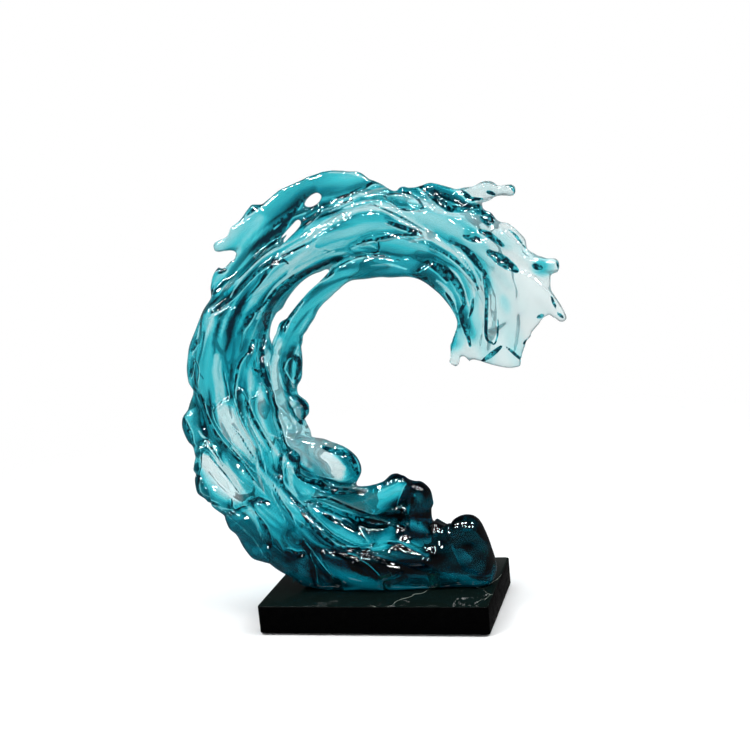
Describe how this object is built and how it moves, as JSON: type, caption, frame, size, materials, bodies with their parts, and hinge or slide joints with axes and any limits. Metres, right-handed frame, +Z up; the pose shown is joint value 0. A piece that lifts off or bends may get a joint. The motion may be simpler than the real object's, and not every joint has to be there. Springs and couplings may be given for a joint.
{
  "type": "wave sculpture",
  "caption": "Free-standing ornament: a curling ocean wave cast in tinted clear resin, screwed from below to a low polished black stone plinth on rubber feet.",
  "frame": {"origin": "on the table, under the middle of the whole sculpture's outline", "axes": "+Z up, +X the way the crest breaks, -Y the front face that the picture shows"},
  "size_m": [0.308, 0.11, 0.3477],
  "materials": {
    "clear_resin": "polished clear cast resin, teal, paler at the crest",
    "black_stone": "polished",
    "screw_steel": "zinc plated",
    "insert_brass": "turned",
    "foot_rubber": "matt"
  },
  "bodies": {
    "root": {"wave_casting": "clear_resin", "plinth": "black_stone", "fixing_screw_1": "screw_steel", "fixing_screw_2": "screw_steel", "fixing_screw_3": "screw_steel", "screw_washer_1": "screw_steel", "screw_washer_2": "screw_steel", "screw_washer_3": "screw_steel", "threaded_insert_1": "insert_brass", "threaded_insert_2": "insert_brass", "threaded_insert_3": "insert_brass", "foot_front_left": "foot_rubber", "foot_front_right": "foot_rubber", "foot_rear_left": "foot_rubber", "foot_rear_right": "foot_rubber"}
  },
  "joints": []
}
